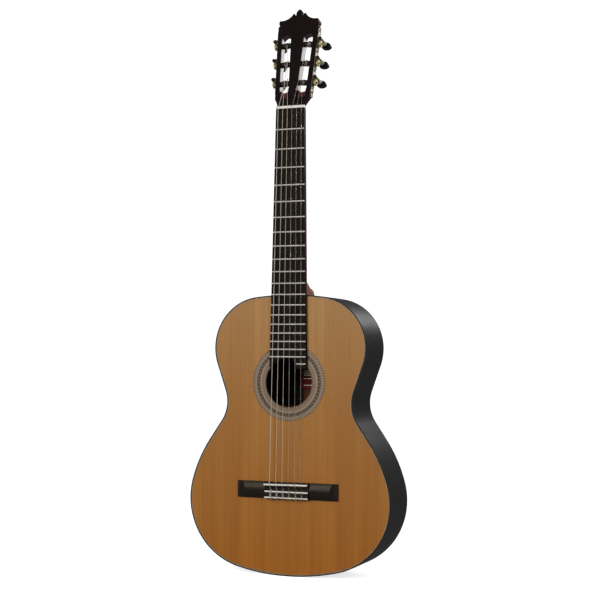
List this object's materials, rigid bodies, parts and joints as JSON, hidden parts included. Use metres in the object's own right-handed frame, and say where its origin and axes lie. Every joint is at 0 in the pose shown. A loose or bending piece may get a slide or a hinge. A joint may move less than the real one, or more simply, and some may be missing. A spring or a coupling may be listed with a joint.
{
  "type": "classical guitar",
  "caption": "Nylon-string classical guitar with a slotted head, open-gear tuners, a tie bridge and a braced hollow body.",
  "frame": {"origin": "on the front of the fingerboard at the nut, in the middle of the neck, where a hanger holds the neck", "axes": "+Z along the neck towards the head, -Y out of the face towards the viewer, +X towards the treble side"},
  "size_m": [0.3714, 0.1126, 0.996],
  "materials": {
    "cedar_top": "satin lacquer over warm brown cedar",
    "rosette_mosaic": "grey-tan mosaic rings under lacquer",
    "dark_back_sides": "near-black satin lacquer",
    "raw_wood": "unfinished",
    "paper": "plain paper",
    "dark_binding": "polished dark edging",
    "light_purfling": "lacquered light line",
    "dark_hardwood": "oiled near-black hardwood",
    "bone": "polished off-white",
    "mahogany": "satin reddish brown",
    "head_black": "glossy near-black veneer",
    "fret_metal": "polished nickel silver",
    "brass": "polished engraved brass",
    "brass_screw": "darkened screws",
    "aged_brass": "machined brass",
    "black_steel": "blackened steel",
    "black_roller": "black plastic",
    "black_button": "black plastic",
    "clear_nylon": "clear nylon",
    "wound_string": "silver-plated winding"
  },
  "bodies": {
    "guitar": {"soundboard": "cedar_top", "rosette": "rosette_mosaic", "back_plate": "dark_back_sides", "side_bass": "dark_back_sides", "side_treble": "dark_back_sides", "neck_block": "raw_wood", "tail_block": "raw_wood", "top_linings": "raw_wood", "back_linings": "raw_wood", "fan_braces": "raw_wood", "harmonic_bars": "raw_wood", "bridge_patch": "raw_wood", "back_braces": "raw_wood", "back_strip": "raw_wood", "label": "paper", "bindings": "dark_binding", "purfling": "light_purfling", "bridge": "dark_hardwood", "saddle": "bone", "tie_block_inlays": "bone", "neck": "mahogany", "heel_cap": "mahogany", "fingerboard": "dark_hardwood", "frets": "fret_metal", "nut": "bone", "headstock": "mahogany", "head_veneer": "head_black", "tuner_plate_treble": "brass", "tuner_plate_bass": "brass", "plate_screws": "brass_screw", "string_1": "clear_nylon", "string_2": "clear_nylon", "string_3": "clear_nylon", "string_4": "wound_string", "string_5": "wound_string", "string_6": "wound_string"},
    "roller_unit_1": {"roller_1": "black_roller", "gear_1": "aged_brass"},
    "tuning_key_1": {"worm_1": "black_steel", "button_1": "black_button"},
    "roller_unit_2": {"roller_2": "black_roller", "gear_2": "aged_brass"},
    "tuning_key_2": {"worm_2": "black_steel", "button_2": "black_button"},
    "roller_unit_3": {"roller_3": "black_roller", "gear_3": "aged_brass"},
    "tuning_key_3": {"worm_3": "black_steel", "button_3": "black_button"},
    "roller_unit_4": {"roller_4": "black_roller", "gear_4": "aged_brass"},
    "tuning_key_4": {"worm_4": "black_steel", "button_4": "black_button"},
    "roller_unit_5": {"roller_5": "black_roller", "gear_5": "aged_brass"},
    "tuning_key_5": {"worm_5": "black_steel", "button_5": "black_button"},
    "roller_unit_6": {"roller_6": "black_roller", "gear_6": "aged_brass"},
    "tuning_key_6": {"worm_6": "black_steel", "button_6": "black_button"}
  },
  "joints": [
    {"name": "key_turn_1", "type": "hinge", "parent": "guitar", "child": "tuning_key_1", "pos_m": [0.03943, 0.02392, 0.05482], "axis": [0, -0.9781, 0.2079], "continuous": true},
    {"name": "roller_turn_1", "type": "hinge", "parent": "guitar", "child": "roller_unit_1", "pos_m": [0.0334, 0.02236, 0.04749], "axis": [0.9991, -0.009, -0.0423], "continuous": true},
    {"name": "key_turn_2", "type": "hinge", "parent": "guitar", "child": "tuning_key_2", "pos_m": [0.04101, 0.03148, 0.09039], "axis": [0, -0.9781, 0.2079], "continuous": true},
    {"name": "roller_turn_2", "type": "hinge", "parent": "guitar", "child": "roller_unit_2", "pos_m": [0.03498, 0.02992, 0.08306], "axis": [0.9991, -0.009, -0.0423], "continuous": true},
    {"name": "key_turn_3", "type": "hinge", "parent": "guitar", "child": "tuning_key_3", "pos_m": [0.04258, 0.03904, 0.12596], "axis": [0, -0.9781, 0.2079], "continuous": true},
    {"name": "roller_turn_3", "type": "hinge", "parent": "guitar", "child": "roller_unit_3", "pos_m": [0.03655, 0.03748, 0.11863], "axis": [0.9991, -0.009, -0.0423], "continuous": true},
    {"name": "key_turn_4", "type": "hinge", "parent": "guitar", "child": "tuning_key_4", "pos_m": [-0.04258, 0.03904, 0.12596], "axis": [0, -0.9781, 0.2079], "continuous": true},
    {"name": "roller_turn_4", "type": "hinge", "parent": "guitar", "child": "roller_unit_4", "pos_m": [-0.03655, 0.03748, 0.11863], "axis": [0.9991, 0.009, 0.0423], "continuous": true},
    {"name": "key_turn_5", "type": "hinge", "parent": "guitar", "child": "tuning_key_5", "pos_m": [-0.04101, 0.03148, 0.09039], "axis": [0, -0.9781, 0.2079], "continuous": true},
    {"name": "roller_turn_5", "type": "hinge", "parent": "guitar", "child": "roller_unit_5", "pos_m": [-0.03498, 0.02992, 0.08306], "axis": [0.9991, 0.009, 0.0423], "continuous": true},
    {"name": "key_turn_6", "type": "hinge", "parent": "guitar", "child": "tuning_key_6", "pos_m": [-0.03943, 0.02392, 0.05482], "axis": [0, -0.9781, 0.2079], "continuous": true},
    {"name": "roller_turn_6", "type": "hinge", "parent": "guitar", "child": "roller_unit_6", "pos_m": [-0.0334, 0.02236, 0.04749], "axis": [0.9991, 0.009, 0.0423], "continuous": true}
  ],
  "couplings": [
    {"joint": "roller_turn_1", "follows": "key_turn_1", "ratio": -0.071429},
    {"joint": "roller_turn_2", "follows": "key_turn_2", "ratio": -0.071429},
    {"joint": "roller_turn_3", "follows": "key_turn_3", "ratio": -0.071429},
    {"joint": "roller_turn_4", "follows": "key_turn_4", "ratio": 0.071429},
    {"joint": "roller_turn_5", "follows": "key_turn_5", "ratio": 0.071429},
    {"joint": "roller_turn_6", "follows": "key_turn_6", "ratio": 0.071429}
  ]
}
